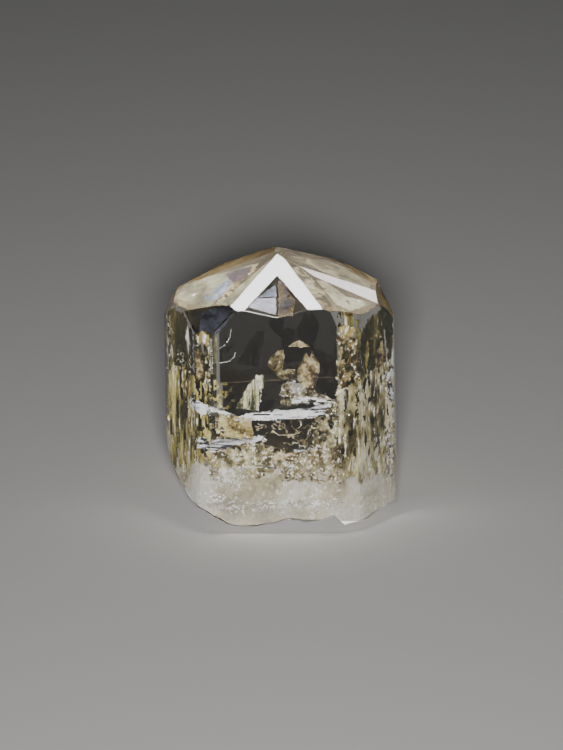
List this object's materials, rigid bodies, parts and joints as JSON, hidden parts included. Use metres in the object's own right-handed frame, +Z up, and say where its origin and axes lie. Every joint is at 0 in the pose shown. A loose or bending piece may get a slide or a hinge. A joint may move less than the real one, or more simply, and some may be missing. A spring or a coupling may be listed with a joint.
{
  "type": "phenakite crystal",
  "caption": "Clear, faintly yellow phenakite crystal: a stubby faceted prism with a low crown, tan flakes and silvery fractures inside, and a cloudy broken base.",
  "frame": {"origin": "middle of the crystal's outline, at the level of the small flat of the break that it rests on", "axes": "+Z up along the prism towards the crown, -Y towards the viewer through the broad front face, +X to the viewer's right"},
  "size_m": [0.0152, 0.0108, 0.0178],
  "materials": {
    "clear_crystal": "polished"
  },
  "bodies": {
    "root": {"crystal": "clear_crystal"}
  },
  "joints": []
}
